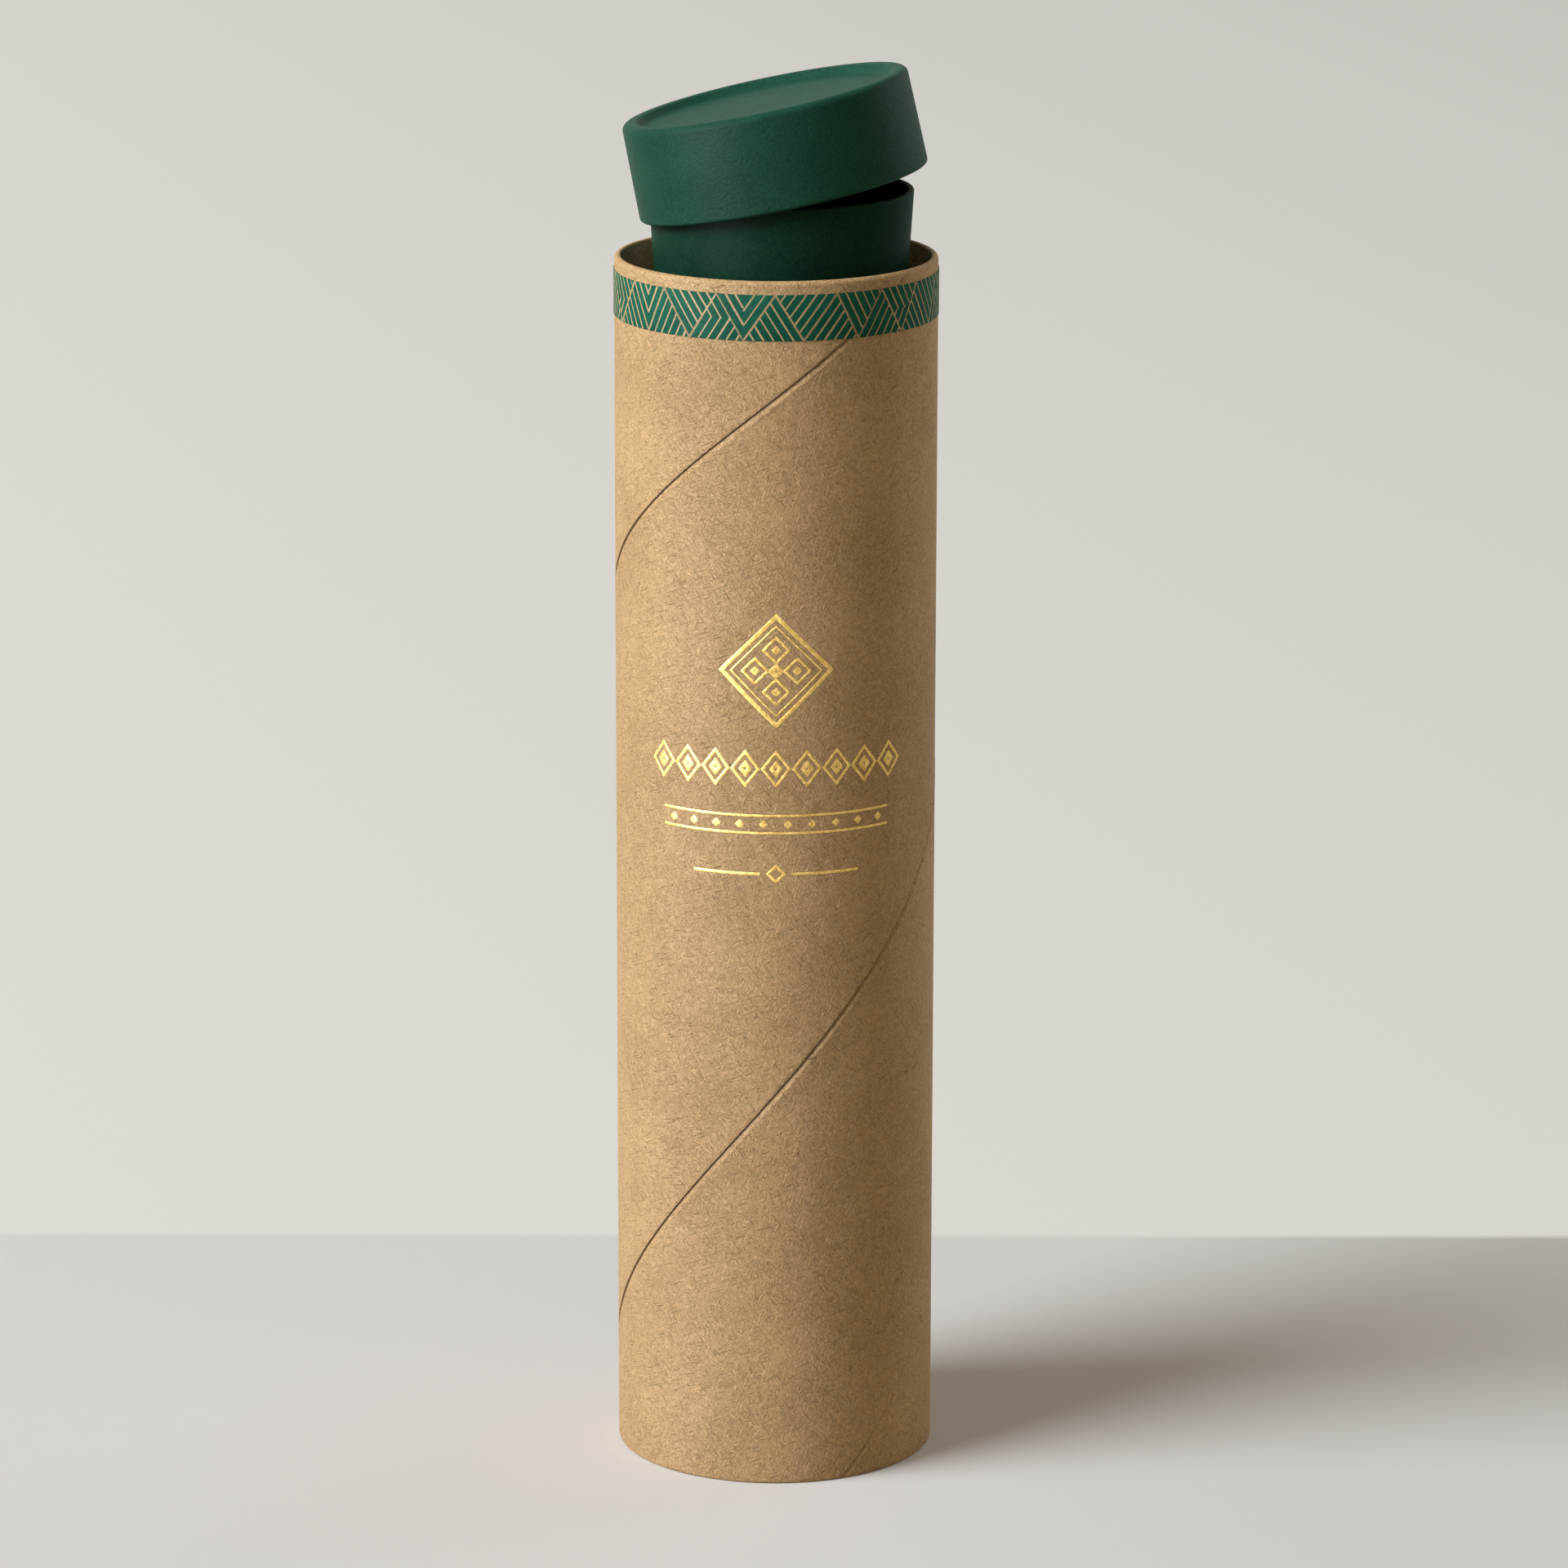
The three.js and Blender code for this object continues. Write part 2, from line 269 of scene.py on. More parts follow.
def new_material(name, roughness, specular=0.5):
    """A material with one Principled BSDF, and the function that adds and links further nodes to it."""
    material = bpy.data.materials.new(name)
    material.use_nodes = True
    nodes, links = material.node_tree.nodes, material.node_tree.links
    surface = nodes["Principled BSDF"]
    surface.inputs["Roughness"].default_value = roughness
    surface.inputs["Specular IOR Level"].default_value = specular

    def add(kind, inputs, **settings):
        """Adds a node, sets its settings, and sets or links its inputs by name or number."""
        made = nodes.new("ShaderNode" + kind)
        for key, value in settings.items():
            setattr(made, key, value)
        for key, value in inputs.items():
            if isinstance(value, bpy.types.NodeSocket):
                links.new(value, made.inputs[key])
            else:
                made.inputs[key].default_value = value
        return made.outputs

    def join(socket, name):
        links.new(socket, surface.inputs[name])

    return material, add, join


def noise(add, place, scale, detail=3.0, roughness=0.55, distortion=0.0):
    """Fractal noise from 0 to 1 about its middle, scale cells to the metre."""
    return add("TexNoise", {"Vector": place, "Scale": scale, "Detail": detail,
                            "Roughness": roughness, "Distortion": distortion})[0]


def between(add, value, low, high, to_low=0.0, to_high=1.0):
    """A value stretched so that low and high become to_low and to_high, and cut off outside them."""
    return add("MapRange", {"Value": value, "From Min": low, "From Max": high,
                            "To Min": to_low, "To Max": to_high})[0]


def tinted(add, factor, first, second, mode="MIX"):
    """Two colours mixed by a factor, or the second laid over the first in another mode."""
    return add("Mix", {0: factor, 6: first, 7: second}, data_type="RGBA", blend_type=mode)[2]


def total(add, *values):
    """Several values added up."""
    result = values[0]
    for value in values[1:]:
        result = add("Math", {0: result, 1: value}, operation="ADD")[0]
    return result


cloud_scale = 45
mottle_scale = 900
# Each lay of fibres: its turn on the sheet, cells to the metre along and across it, and the noise
# where a fibre starts and is full.
dark_lays = ((0.9, 300, 2600, 0.56, 0.72), (-0.35, 260, 2300, 0.57, 0.72))
pale_lays = ((1.9, 330, 2500, 0.55, 0.7), (0.3, 240, 2100, 0.58, 0.74))
fibre_strength = 0.5
fleck_cells = (230, 420, 1)
fleck_turn = 0.5
fleck_strength = 0.55
groove_shade_strength = 0.8
grain_depth = 0.0003


def kraft_paper(name, light, dark, fleck, bump):
    """Bare kraft: clouds of tone, a fine curly mottle, fibres lying several ways on the unrolled sheet,
    pale and dark, and sparse brown flecks. The same noises, much weaker, lift and sink the surface.
    Painted shade darkens the bottom of each seam's groove towards a dark brown."""
    material, add, join = new_material(name, 0.56, 0.34)
    place = add("TexCoord", {})[3]
    flat = add("UVMap", {}, uv_map="unrolled")[0]
    clouds = noise(add, place, cloud_scale, 3)
    mottle = noise(add, place, mottle_scale, 4, 0.62, 2.2)
    fibres = []
    for turn, long, fine, low, high in dark_lays + pale_lays:
        laid = add("Mapping", {"Vector": flat, "Rotation": (0, 0, turn)})[0]
        drawn = add("Mapping", {"Vector": laid, "Scale": (long, fine, 1)})[0]
        fibres.append(between(add, noise(add, drawn, 1, 2, 0.5, 0.6), low, high))
    shade = total(add, between(add, clouds, 0.3, 0.7, -0.25, 0.25), between(add, mottle, 0.38, 0.62))
    colour = tinted(add, shade, (*dark, 1), (*light, 1))
    dark_fibre = add("Math", {0: fibres[0], 1: fibres[1]}, operation="MAXIMUM")[0]
    pale_fibre = add("Math", {0: fibres[2], 1: fibres[3]}, operation="MAXIMUM")[0]
    colour = tinted(add, add("Math", {0: dark_fibre, 1: fibre_strength}, operation="MULTIPLY")[0],
                    colour, (*fleck, 1))
    colour = tinted(add, add("Math", {0: pale_fibre, 1: fibre_strength}, operation="MULTIPLY")[0],
                    colour, (*[min(1, c * 1.22) for c in light], 1))
    turned_flat = add("Mapping", {"Vector": flat, "Scale": fleck_cells,
                                  "Rotation": (0, 0, fleck_turn)})[0]
    spots = add("TexVoronoi", {"Vector": turned_flat, "Scale": 1.0, "Randomness": 1.0})[0]
    spots = between(add, total(add, spots, noise(add, flat, 160, 2, 0.5)), 0.42, 0.5, 1, 0)
    colour = tinted(add, add("Math", {0: spots, 1: fleck_strength}, operation="MULTIPLY")[0],
                    colour, (*fleck, 1))
    # Painted shade: the bottom of each seam's groove is darkened in colour, read from a point attribute.
    groove_shade = add("Attribute", {}, attribute_name="groove_shade")[2]
    colour = tinted(add, add("Math", {0: groove_shade, 1: groove_shade_strength}, operation="MULTIPLY")[0],
                    colour, (*[c * 0.5 for c in fleck], 1))
    join(colour, "Base Color")
    height = total(add, mottle, add("Math", {0: pale_fibre, 1: 0.4}, operation="MULTIPLY")[0],
                   add("Math", {0: dark_fibre, 1: -0.4}, operation="MULTIPLY")[0])
    join(add("Bump", {"Height": height, "Strength": bump, "Distance": grain_depth})[0], "Normal")
    return material


kraft = kraft_paper("kraft_wall", (0.86, 0.585, 0.28), (0.53, 0.33, 0.125), (0.26, 0.14, 0.05), 0.95)
finish_piece(outer_tube, kraft, "tube", "kraft_board", "outer_tube")


# Base disc
# A disc of the same board closes the foot. It is pressed to a shallow cup, pushed up into the bore
# with its flange turned down, and glued to the wall.
disc_low, disc_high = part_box("base_disc")
disc_board = 1.4 * MM
disc_flange = 1.0 * MM
disc_round = 0.8 * MM
disc_columns = 160


def closing_disc(name, low, high, across):
    """A cup turned upside down: from the axis out under the board, down inside the flange, up outside
    it and back in over the board to the axis."""
    radius = (high.x - low.x) / 2
    under = high.z - disc_board
    profile = rounded([(0, under, 0), (radius - disc_flange, under, disc_round / 2),
                       (radius - disc_flange, low.z, 0), (radius, low.z, 0),
                       (radius, high.z, disc_round), (0, high.z, 0)], 5)
    points, flat = turned(profile, disc_columns)
    return make_piece(name, [(points + np.array([across, 0, 0]), flat)])


base_disc = closing_disc("foot_disc", disc_low, disc_high, 0)
base_board = kraft_paper("base_board", (0.72, 0.49, 0.25), (0.53, 0.33, 0.14), (0.26, 0.14, 0.055), 0.6)
finish_piece(base_disc, base_board, "tube", "base_board", "base_disc")


# Printed band
# A strip of kraft paper, printed solid green but for thin bare lines, is glued round the wall under
# the lip and hides the winding seam. Its lines run in hatched triangles and nested chevrons.
band_low, band_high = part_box("printed_band")
band_line_proud = 0.012 * MM
band_radius = band_high.x - band_line_proud
band_width = band_high.z - band_low.z
band_round = 0.08 * MM
band_line = 0.42 * MM
band_line_spread = 0.25
band_pitch = 2.05 * MM
band_turn = 2 * math.pi * band_radius
band_teeth = 19
band_seed = 11
band_columns = 360
glue_gap = 0.05 * MM
shortest_line = 0.9 * MM
ribbon_step = 1.2 * MM
ribbon_sunk = 0.05 * MM

band_profile = rounded([(tube_radius + glue_gap, band_low.z, 0), (band_radius, band_low.z, band_round),
                        (band_radius, band_high.z, band_round),
                        (tube_radius + glue_gap, band_high.z, 0),
                        (tube_radius + glue_gap, band_low.z, 0)], 3)
printed_band = make_piece("printed_band_sheet", [turned(band_profile, band_columns)])


def clip_line(corners, origin, along):
    """The stretch of a line inside a convex polygon: its entry and exit, as distances from the origin,
    are the greatest and the least of where it crosses the edges' lines inwards and outwards."""
    start, end = -np.inf, np.inf
    for here, there in zip(corners, np.roll(corners, -1, axis=0)):
        inward = np.array([-(there - here)[1], (there - here)[0]])
        speed, depth = inward @ along, inward @ (origin - here)
        if abs(speed) < 1e-12:
            if depth < 0:
                return None
            continue
        if speed > 0:
            start = max(start, -depth / speed)
        else:
            end = min(end, -depth / speed)
    return (start, end) if end - start > shortest_line else None


def hatch(corners, along, first, pitch):
    """The parallel lines that fill a convex polygon: one every pitch, square to their own direction."""
    along = along / np.hypot(*along)
    across = np.array([-along[1], along[0]])
    reach = (corners - first) @ across
    lines = []
    for step in np.arange(math.ceil(reach.min() / pitch), math.floor(reach.max() / pitch) + 1):
        origin = first + across * pitch * step
        found = clip_line(corners, origin, along)
        if found:
            lines.append((origin + along * found[0], origin + along * found[1]))
    return lines


def band_lines():
    """A zigzag with uneven teeth divides the band into triangles. A triangle is hatched along one side,
    or halved from its point into two hatches that meet as nested chevrons, or cut across by a bar
    with the other hatch beyond it."""
    pick = np.random.default_rng(band_seed)
    gaps = pick.uniform(0.75, 1.25, 2 * band_teeth)
    places = np.concatenate([[0], np.cumsum(gaps)]) / gaps.sum() * band_turn
    low, high = 0.0, band_width
    lines = []
    for index in range(2 * band_teeth):
        up = index % 2 == 0
        foot, tip = (low, high) if up else (high, low)
        left = np.array([places[index], foot])
        right_at = places[(index + 2)] if index + 2 < len(places) else band_turn + places[1]
        right = np.array([right_at, foot])
        point = np.array([places[index + 1], tip])
        corners = np.array([left, right, point] if up else [right, left, point])
        lines.append((left, point))
        style = pick.choice(["left", "right", "chevron", "bar"], p=[0.28, 0.24, 0.3, 0.18])
        if style == "left":
            lines += hatch(corners, point - left, left, band_pitch)
        elif style == "right":
            lines += hatch(corners, point - right, right, band_pitch)
        elif style == "chevron":
            middle = np.array([point[0], foot])
            halves = ([left, middle, point], [middle, right, point])
            if not up:
                halves = ([middle, left, point], [right, middle, point])
            lines += hatch(np.array(halves[0]), point - left, left, band_pitch)
            lines += hatch(np.array(halves[1]), point - right, right, band_pitch)
        else:
            half_left, half_right = (left + point) / 2, (right + point) / 2
            base_part = [left, right, half_right, half_left]
            tip_part = [half_left, half_right, point]
            if not up:
                base_part, tip_part = base_part[::-1], tip_part[::-1]
            lines += hatch(np.array(base_part), point - left, left, band_pitch)
            lines += hatch(np.array(tip_part), point - right, right, band_pitch)
    return lines


def ribbon(path, width, proud, radius, closed=False, crown=0.0):
    """A thin raised ribbon that follows a path on the unrolled cylinder. Its two edges are the path set
    off by half the width along the mitre at each point, its section is a low box with a crowned top,
    and the whole is wrapped round the radius."""
    path = np.asarray(path, float)
    ends = np.concatenate([path, path[:1]]) if closed else path
    pieces = [np.linspace(a, b, max(2, int(np.hypot(*(b - a)) / ribbon_step) + 2))[:-1]
              for a, b in zip(ends, ends[1:])]
    line = np.concatenate(pieces + ([] if closed else [ends[-1:]]))
    if closed:
        after, before = np.roll(line, -1, axis=0), np.roll(line, 1, axis=0)
    else:
        after = np.concatenate([line[1:], 2 * line[-1:] - line[-2:-1]])
        before = np.concatenate([2 * line[:1] - line[1:2], line[:-1]])
    ahead, behind = after - line, line - before
    ahead /= np.hypot(*ahead.T)[:, None]
    behind /= np.hypot(*behind.T)[:, None]
    tangent = ahead + behind
    tangent /= np.hypot(*tangent.T)[:, None]
    side = np.stack([-tangent[:, 1], tangent[:, 0]], axis=1)
    stretch = 1 / np.maximum(np.abs((ahead * tangent).sum(axis=1)), 0.3)
    if closed:
        line, side = np.concatenate([line, line[:1]]), np.concatenate([side, side[:1]])
        stretch = np.concatenate([stretch, stretch[:1]])
    section = np.array([(-1, -ribbon_sunk), (1, -ribbon_sunk), (1, proud * 0.4), (0.72, proud),
                        (0, proud + crown), (-0.72, proud), (-1, proud * 0.4), (-1, -ribbon_sunk)])
    offset = section[:, 0][:, None] * stretch * width / 2
    flat = line[None] + side[None] * offset[..., None]
    lift = radius + section[:, 1][:, None]
    sheets = [(on_cylinder(lift, np.degrees(flat[..., 0] / radius), flat[..., 1]), flat)]
    if not closed:
        for end in (0, -1):
            cap = np.stack([flat[:4, end], flat[:3:-1, end]])
            level = radius + np.stack([section[:4, 1], section[:3:-1, 1]])
            sheets.append((on_cylinder(level, np.degrees(cap[..., 0] / radius), cap[..., 1]), cap))
    return sheets


shift = np.array([-band_turn / 2, band_low.z])
line_pick = np.random.default_rng(band_seed + 1)
line_sheets = []
for start, end in band_lines():
    width = band_line * line_pick.uniform(1 - band_line_spread, 1 + band_line_spread)
    line_sheets += ribbon([start + shift, end + shift], width, band_line_proud, band_radius)
bare_lines = make_piece("band_bare_lines", line_sheets)


def printed_green(name):
    """Green ink on kraft: flat colour, a little patchy with the paper's mottle, and worn to bare fibre
    in a few fine specks."""
    material, add, join = new_material(name, 0.6, 0.06)
    place = add("TexCoord", {})[3]
    mottle = noise(add, place, 1400, 4, 0.6)
    patch = noise(add, place, 130, 3)
    ink = tinted(add, between(add, total(add, mottle, patch), 0.75, 1.25), (0.006, 0.1, 0.058, 1),
                 (0.016, 0.17, 0.105, 1))
    worn = between(add, noise(add, place, 2300, 3, 0.6), 0.69, 0.76, 0, 0.7)
    join(tinted(add, worn, ink, (0.5, 0.38, 0.22, 1)), "Base Color")
    join(add("Bump", {"Height": mottle, "Strength": 0.3, "Distance": 0.0001})[0], "Normal")
    return material


finish_piece(printed_band, printed_green("band_green"), "tube", "printed_paper", "printed_band")
line_kraft = kraft_paper("band_kraft", (0.69, 0.53, 0.275), (0.54, 0.385, 0.175), (0.33, 0.2, 0.1), 0.3)
finish_piece(bare_lines, line_kraft, "tube", "printed_paper")


# Foil ornament
# Hot-stamped gold foil on the front of the wall: nested lozenges over three rows of plain border work.
# A heated die pressed it on, so each line stands a little proud with soft edges. Under each line lies a
# slightly wider strip of darker kraft, a painted shadow along its edges.
foil_middle = 0.2 * MM
foil_proud = 0.05 * MM
foil_crown = 0.03 * MM
painted_shadow_margin = 0.3 * MM
painted_shadow_proud = 0.008 * MM
emblem_height = 209 * MM
emblem_spread = 5.2 * MM
chain_height = 184.5 * MM
chain_links = 9
chain_pitch = 7.6 * MM
double_rule_height = 170.5 * MM
double_rule_length = 60 * MM
double_rule_gap = 4.4 * MM
single_rule_height = 158 * MM
single_rule_length = 42 * MM
single_rule_gap = 4 * MM


def lozenge(across, height, half_width, half_height):
    """The four corners of an upright lozenge whose middle lies at a way across and a height."""
    return [(foil_middle + across, height - half_height), (foil_middle + across + half_width, height),
            (foil_middle + across, height + half_height), (foil_middle + across - half_width, height)]


foil_lines = [(lozenge(0, emblem_height, half * MM, half * MM), line * MM, True)
              for half, line in ((13.6, 1.1), (11.2, 0.45), (1.2, 1.3))]
for across, up in emblem_spread * np.array([(0, 1), (1, 0), (0, -1), (-1, 0)]):
    for half, line in ((3.1, 0.7), (0.7, 0.8)):
        corners = lozenge(across, emblem_height + up, half * MM, half * MM)
        foil_lines.append((corners, line * MM, True))
for link in range(chain_links):
    across = (link - (chain_links - 1) / 2) * chain_pitch
    foil_lines.append((lozenge(across, chain_height, 3.3 * MM, 4.2 * MM), 0.75 * MM, True))
    foil_lines.append((lozenge(across, chain_height, 1 * MM, 1.3 * MM), 1.1 * MM, True))
for side in (-1, 1):
    height = double_rule_height + side * double_rule_gap / 2
    foil_lines.append(([(foil_middle - double_rule_length / 2, height),
                        (foil_middle + double_rule_length / 2, height)], 0.65 * MM, False))
    foil_lines.append(([(foil_middle + side * single_rule_gap, single_rule_height),
                        (foil_middle + side * single_rule_length / 2, single_rule_height)],
                       0.75 * MM, False))
for across in np.linspace(-0.45, 0.45, 10) * double_rule_length:
    foil_lines.append((lozenge(across, double_rule_height, 0.6 * MM, 0.6 * MM), 0.8 * MM, True))
foil_lines.append((lozenge(0, single_rule_height, 2 * MM, 2 * MM), 0.75 * MM, True))
foil_sheets, painted_shadow_sheets = [], []
for path, width, closed in foil_lines:
    foil_sheets += ribbon(path, width, foil_proud, tube_radius, closed, foil_crown)
    # Painted shadow: a wider, darker kraft strip under each foil line shows at its edges.
    painted_shadow_sheets += ribbon(path, width + painted_shadow_margin, painted_shadow_proud, tube_radius, closed)
foil = make_piece("foil_ornament", foil_sheets)
painted_shadow_edges = make_piece("painted_shadow_edges", painted_shadow_sheets)


def gold_foil(name):
    """Thin gold foil that takes on the tooth of the paper under it."""
    material, add, join = new_material(name, 0.4)
    place = add("TexCoord", {})[3]
    tooth = noise(add, place, 1500, 4, 0.6)
    join(tinted(add, between(add, tooth, 0.38, 0.62), (0.7, 0.44, 0.09, 1), (1.0, 0.74, 0.24, 1)),
         "Base Color")
    join(between(add, tooth, 0.3, 0.7, 0.4, 0.6), "Roughness")
    material.node_tree.nodes["Principled BSDF"].inputs["Metallic"].default_value = 0.6
    join(add("Bump", {"Height": tooth, "Strength": 0.5, "Distance": 0.00012})[0], "Normal")
    return material


finish_piece(foil, gold_foil("gold_foil"), "tube", "kraft_board")
# Painted shade: darker kraft for the painted shadow beside the foil lines and for the creases' dark
# lines.
painted_shade_kraft = kraft_paper("painted_shade_kraft", (0.5, 0.34, 0.18), (0.34, 0.22, 0.11), (0.2, 0.11, 0.05),
                            0.4)
finish_piece(painted_shadow_edges, painted_shade_kraft, "tube", "kraft_board")


# Scuffs
# Two short creases that handling left in the paper, high on the right of the wall, each drawn as a thin
# dark line: the creases are real, their darkness is painted shade in the fold. A scuff is its two ends,
# each an angle and a height.
scuffs = (((57.4, 267.8), (55.3, 265.4)), ((47.5, 258.2), (43.0, 254.0)))
scuff_width = 0.22 * MM
scuff_proud = 0.006 * MM
scuff_sheets = []
for ends in scuffs:
    path = [(degrees * metres_per_degree, height * MM) for degrees, height in ends]
    scuff_sheets += ribbon(path, scuff_width, scuff_proud, tube_radius)
scuff_lines = make_piece("scuffs", scuff_sheets)
finish_piece(scuff_lines, painted_shade_kraft, "tube", "kraft_board")


# Inner tube
# A thinner tube of board wrapped in dark green paper stands on the base disc. It is straight up to
# the lip and flares to its mouth, and its bore is lined with the same paper.
inner_low, inner_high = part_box("inner_tube")
inner_shift = (inner_low.x + inner_high.x) / 2
mouth_radius = (inner_high.x - inner_low.x) / 2
inner_wall = 1.4 * MM
flare_run = 26.0 * MM
flare_slope = math.tan(math.radians(3.77))
body_radius = mouth_radius - flare_run * flare_slope
mouth_round = 0.5 * MM
inner_columns = 256
flare_round = 4 * flare_run
flare_start = inner_high.z - flare_run
inner_profile = rounded([
    (body_radius - inner_wall, (inner_low.z + flare_start) / 2, 0),
    (body_radius - inner_wall, inner_low.z, foot_inner_round),
    (body_radius, inner_low.z, foot_round), (body_radius, flare_start, flare_round),
    (mouth_radius, inner_high.z, mouth_round), (mouth_radius - inner_wall, inner_high.z, mouth_round),
    (body_radius - inner_wall, flare_start, flare_round),
    (body_radius - inner_wall, (inner_low.z + flare_start) / 2, 0),
], 6)
inner_points, inner_flat = turned(inner_profile, inner_columns)
inner_tube = make_piece("green_inner_tube", [(inner_points + np.array([inner_shift, 0, 0]), inner_flat)])


def green_paper(name, dark, light, roughness, specular, grain):
    """Matt dark green paper: a close stipple that catches the light, over faint clouds of tone."""
    material, add, join = new_material(name, roughness, specular)
    place = add("TexCoord", {})[3]
    stipple = noise(add, place, 1300, 4, 0.62)
    clouds = noise(add, place, 90, 3)
    tone = total(add, between(add, stipple, 0.3, 0.7, 0, 0.8), between(add, clouds, 0.3, 0.7, -0.1, 0.3))
    join(tinted(add, tone, (*dark, 1), (*light, 1)), "Base Color")
    join(between(add, stipple, 0.3, 0.7, roughness - 0.08, roughness + 0.08), "Roughness")
    join(add("Bump", {"Height": stipple, "Strength": grain, "Distance": 0.00015})[0], "Normal")
    return material


inner_green = green_paper("inner_green", (0.006, 0.033, 0.018), (0.014, 0.063, 0.036), 0.5, 0.02, 0.5)
finish_piece(inner_tube, inner_green, "tube", "green_board", "inner_tube")


# Inner base disc
# The inner tube is closed like the outer one, with a cup of green board glued inside its foot.
inner_disc_low, inner_disc_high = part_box("inner_base_disc")
inner_disc = closing_disc("inner_foot_disc", inner_disc_low, inner_disc_high, inner_shift)
inner_disc_green = green_paper("inner_disc_green", (0.01, 0.035, 0.022), (0.015, 0.05, 0.03),
                               0.7, 0.1, 0.3)
finish_piece(inner_disc, inner_disc_green, "tube", "inner_base_board", "inner_base_disc")


# Lid
# One moulded cap, finished in the same matt green. A rolled rim runs round its recessed top, and the
# lid sits cocked: its low side hooks round the inner tube's mouth and its high side stands clear.
lid_play = 1.2 * MM
lid_wall = 2.2 * MM
lid_height = 24.1 * MM
lid_taper = math.tan(math.radians(0.8))
lid_board = 2.0 * MM
lid_recess = 2.0 * MM
rim_width = 3.6 * MM
rim_outer_round = 1.7 * MM
rim_inner_round = 1.4 * MM
recess_round = 2.4 * MM
lid_inner_round = 1.5 * MM
lid_mouth_round = 0.9 * MM
lid_lean = math.radians(11.86)
lid_nod = math.radians(-1.45)
lid_hook = 7.8 * MM
lid_clearance = 0.3 * MM
lid_inner_radius = mouth_radius + lid_play
lid_outer_radius = lid_inner_radius + lid_wall
rim_ease = 0.07 * MM
lid_columns = 320
rim_radius = lid_outer_radius - lid_height * lid_taper - rim_ease
ceiling = lid_height - lid_recess - lid_board
lid_profile = rounded([
    (0, ceiling, 0), (lid_inner_radius, ceiling, lid_inner_round),
    (lid_inner_radius, 0, lid_mouth_round / 2), (lid_outer_radius, 0, lid_mouth_round),
    (rim_radius, lid_height, rim_outer_round), (rim_radius - rim_width, lid_height, rim_inner_round),
    (rim_radius - rim_width - lid_recess, lid_height - lid_recess, recess_round),
    (0, lid_height - lid_recess, 0),
], 8)
hook_x = inner_shift - (mouth_radius - lid_hook * flare_slope) - lid_clearance
seat = (Matrix.Translation((hook_x + lid_inner_radius * math.cos(lid_lean), 0,
                            inner_high.z - lid_hook + lid_inner_radius * math.sin(lid_lean)))
        @ Matrix.Rotation(lid_nod, 4, "X") @ Matrix.Rotation(-lid_lean, 4, "Y"))
lid_points, lid_flat = turned(lid_profile, lid_columns)
turn_and_seat = np.array(seat)
lid_points = lid_points @ turn_and_seat[:3, :3].T + turn_and_seat[:3, 3]
lid = make_piece("green_lid", [(lid_points, lid_flat)])
lid_green = green_paper("lid_green", (0.009, 0.06, 0.035), (0.021, 0.102, 0.062), 0.48, 0.045, 0.9)
finish_piece(lid, lid_green, "cap", "green_lid", "lid")


# Stage
# A plain pale floor under a broad soft lamp from the left, a weak one from the back right, one that
# lays a sheen on the paper, and an even warm light. Past the table's edge and far off the floor shows
# the backdrop's glowing tone, with a painted falloff of light that darkens it to the right and further
# back; on the table a little of that glow is painted light that lifts the table and its shadow. It is
# pale to the camera and in gloss, and throws little light back.
floor_reach = 8.0
table_edge = 0.16
lamp_tone = (1, 1, 1.05)
painted_table_glow = 0.08
edge_blur = 0.002
near_field = 0.4
far_field = 1.3
backdrop_tone = 0.715
painted_side_falloff = 0.22
painted_back_falloff = 0.14
lamp_reach = 4.5
lamp_aim = 0.17
camera_place = (0.00212, -1.6635, 0.5953)
floor_mesh = bpy.data.meshes.new("floor")
floor_mesh.from_pydata([(x, y, 0) for x, y in ((-1, -1), (1, -1), (1, 1), (-1, 1))], [], [(0, 1, 2, 3)])
floor_mesh.transform(Matrix.Scale(floor_reach, 4))
floor = bpy.data.objects.new("floor", floor_mesh)
bpy.context.scene.collection.objects.link(floor)


def seen_rays(add):
    """1 for rays from the camera and for gloss and glass, and 0 for the rest."""
    rays = add("LightPath", {})
    return add("Math", {0: add("Math", {0: rays["Is Camera Ray"], 1: rays["Is Glossy Ray"]},
                               operation="MAXIMUM")[0],
                        1: rays["Is Transmission Ray"]}, operation="MAXIMUM")[0]


floor_material, add, join = new_material("floor_paper", 0.9, 0.0)
place = add("TexCoord", {})[3]
axes = add("SeparateXYZ", {"Vector": place})
seen = seen_rays(add)
join(tinted(add, seen, (0.28, 0.22, 0.16, 1), (0.775, 0.785, 0.77, 1)), "Base Color")
# Painted falloff of light: the backdrop's glow darkens to the right and further back.
tone = total(add, between(add, axes[0], -2, 2, painted_side_falloff, -painted_side_falloff),
             between(add, axes[1], 0, 4, 0, -painted_back_falloff), backdrop_tone)
backdrop = add("Emission", {"Color": tinted(add, tone, (0, 0, 0, 1), (1, 0.968, 0.908, 1))})[0]
# Painted light: on the table, a little of the backdrop's glow lifts the lit floor and the shadow alike.
behind = between(add, axes[1], table_edge - edge_blur, table_edge + edge_blur, painted_table_glow, 1)
far_off = between(add, add("VectorMath", {0: place}, operation="LENGTH")[1], near_field, far_field)
behind = add("Math", {0: behind, 1: far_off}, operation="MAXIMUM")[0]
shown = add("Math", {0: behind, 1: seen}, operation="MULTIPLY")[0]
nodes = floor_material.node_tree.nodes
mixed = add("MixShader", {0: shown, 1: nodes["Principled BSDF"].outputs[0], 2: backdrop})[0]
floor_material.node_tree.links.new(mixed, nodes["Material Output"].inputs[0])
floor_mesh.materials.append(floor_material)


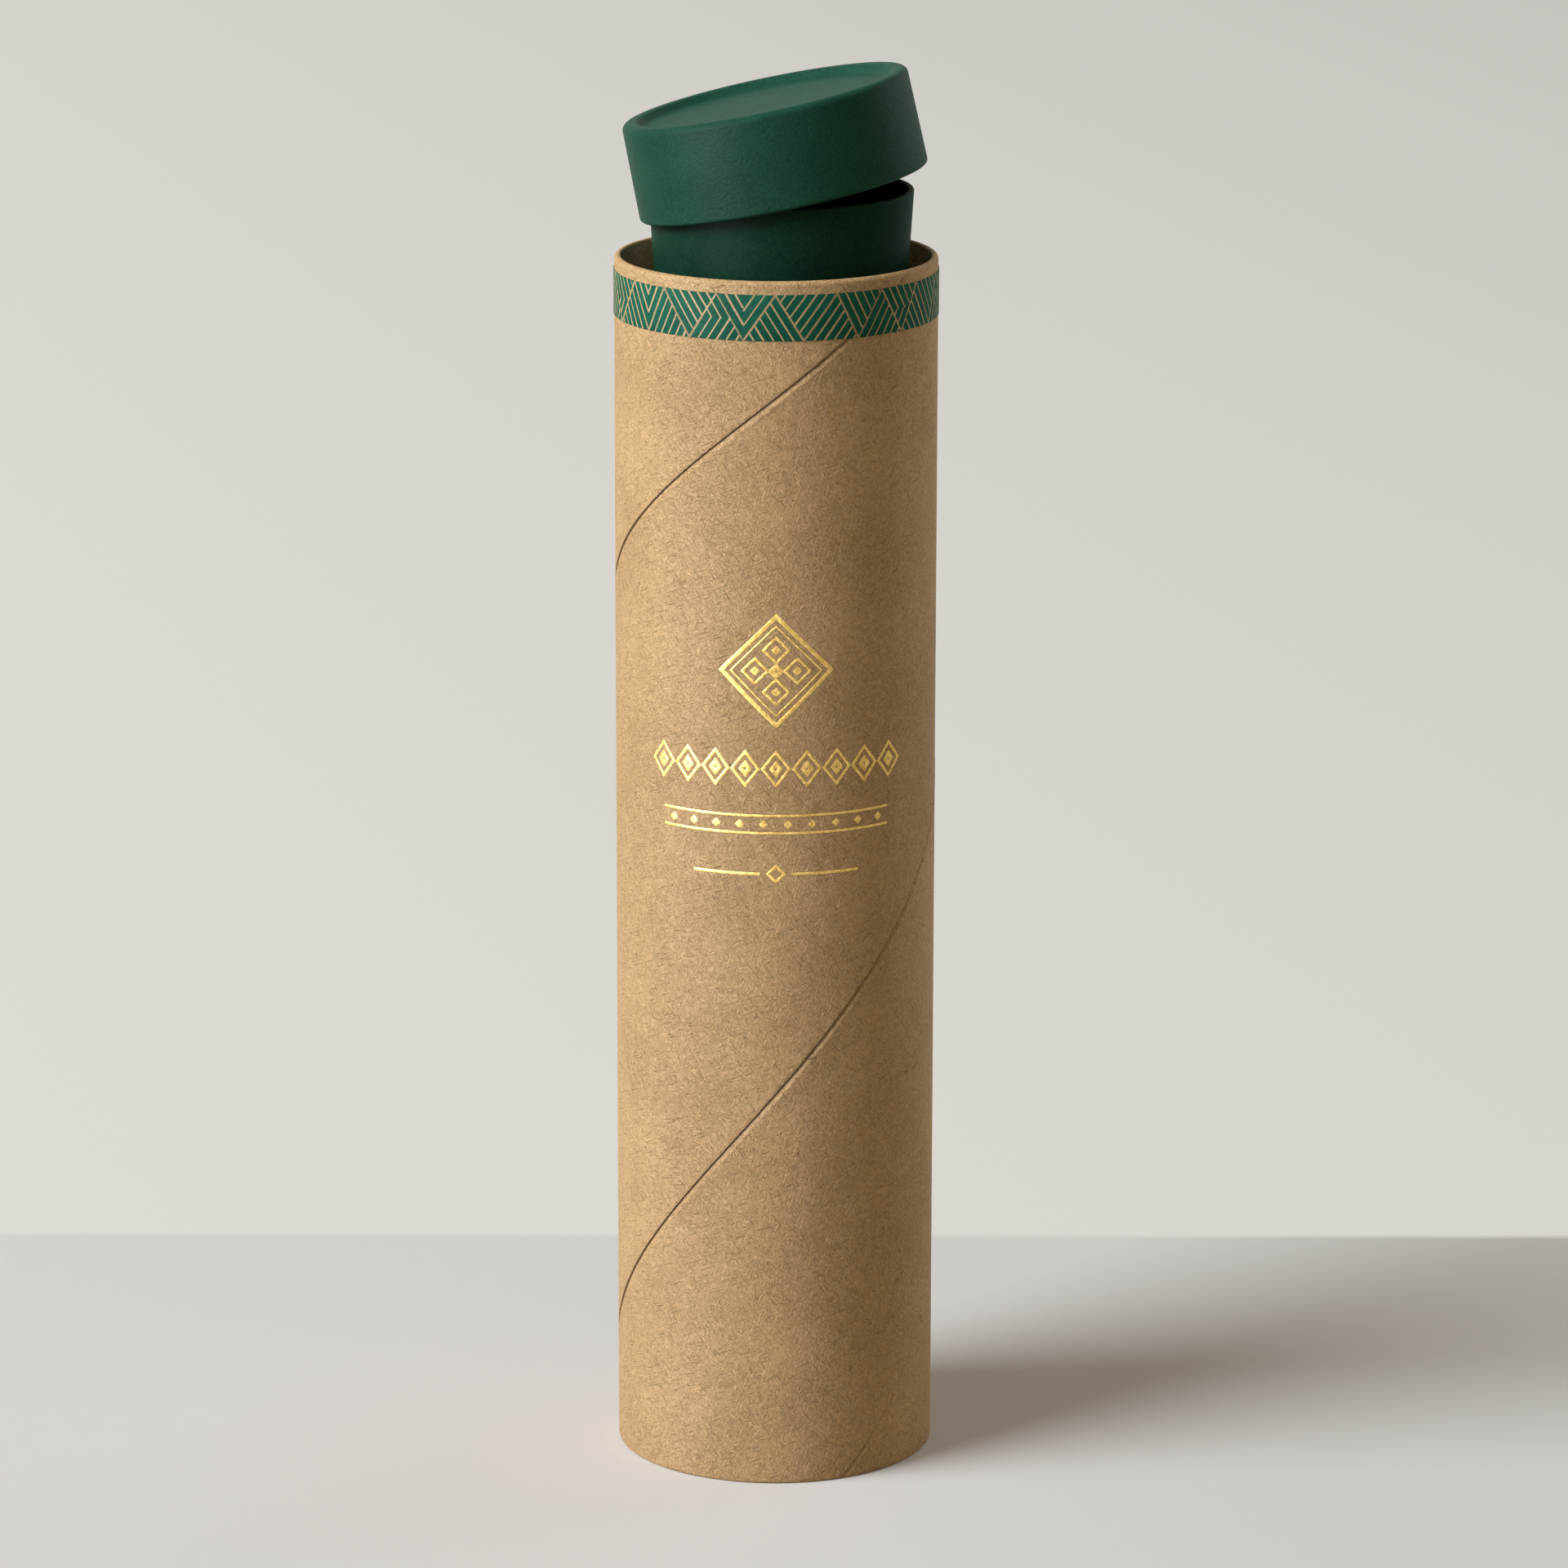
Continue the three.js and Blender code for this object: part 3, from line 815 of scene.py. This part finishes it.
def add_lamp(name, azimuth, elevation, size, energy, gloss_only=False):
    """A round soft lamp at an angle and an elevation in degrees, turned towards the tube's middle. One
    for gloss only lays a sheen on the paper and lights nothing else."""
    lamp_data = bpy.data.lights.new(name, "AREA")
    lamp_data.shape = "DISK"
    lamp_data.size = size
    lamp_data.energy = energy
    lamp_data.color = lamp_tone
    lamp = bpy.data.objects.new(name, lamp_data)
    lamp.visible_camera = False
    lamp.visible_diffuse = not gloss_only
    bpy.context.scene.collection.objects.link(lamp)
    lamp.matrix_world = (Matrix.Translation((0, 0, lamp_aim))
                         @ Matrix.Rotation(math.radians(azimuth), 4, "Z")
                         @ Matrix.Rotation(math.radians(90 - elevation), 4, "X")
                         @ Matrix.Translation((0, 0, lamp_reach)))


add_lamp("key", -65, 35, 2.9, 226)
add_lamp("sheen", -54, 3, 1.6, 520, gloss_only=True)
add_lamp("edge", 122, 12, 3.0, 37)

world = bpy.data.worlds.new("even_light")
bpy.context.scene.world = world
world.use_nodes = True
sky_nodes, sky_links = world.node_tree.nodes, world.node_tree.links
sky_nodes.clear()


def add_sky(kind, inputs, **settings):
    """Adds a node to the world, with its inputs set or linked."""
    made = sky_nodes.new("ShaderNode" + kind)
    for key, value in settings.items():
        setattr(made, key, value)
    for key, value in inputs.items():
        if isinstance(value, bpy.types.NodeSocket):
            sky_links.new(value, made.inputs[key])
        else:
            made.inputs[key].default_value = value
    return made.outputs


fill = add_sky("Background", {"Color": (1, 0.8, 0.54, 1), "Strength": 0.185})[0]
pale_sky = add_sky("Background", {"Color": (0.7, 0.68, 0.635, 1), "Strength": 1.0})[0]
sky = add_sky("MixShader", {0: seen_rays(add_sky), 1: fill, 2: pale_sky})[0]
sky_links.new(sky, sky_nodes.new("ShaderNodeOutputWorld").inputs[0])

camera_data = bpy.data.cameras.new("camera")
camera_data.sensor_width = 36
camera_data.lens = 157.8
camera_data.clip_end = 50
camera = bpy.data.objects.new("camera", camera_data)
bpy.context.scene.collection.objects.link(camera)
camera_pitch, camera_roll = math.radians(14.32), math.radians(0.1)
camera.matrix_world = (Matrix.Translation(camera_place)
                       @ Matrix.Rotation(math.pi / 2 - camera_pitch, 4, "X")
                       @ Matrix.Rotation(camera_roll, 4, "Z"))
bpy.context.scene.camera = camera
bpy.context.scene.view_settings.view_transform = "Standard"
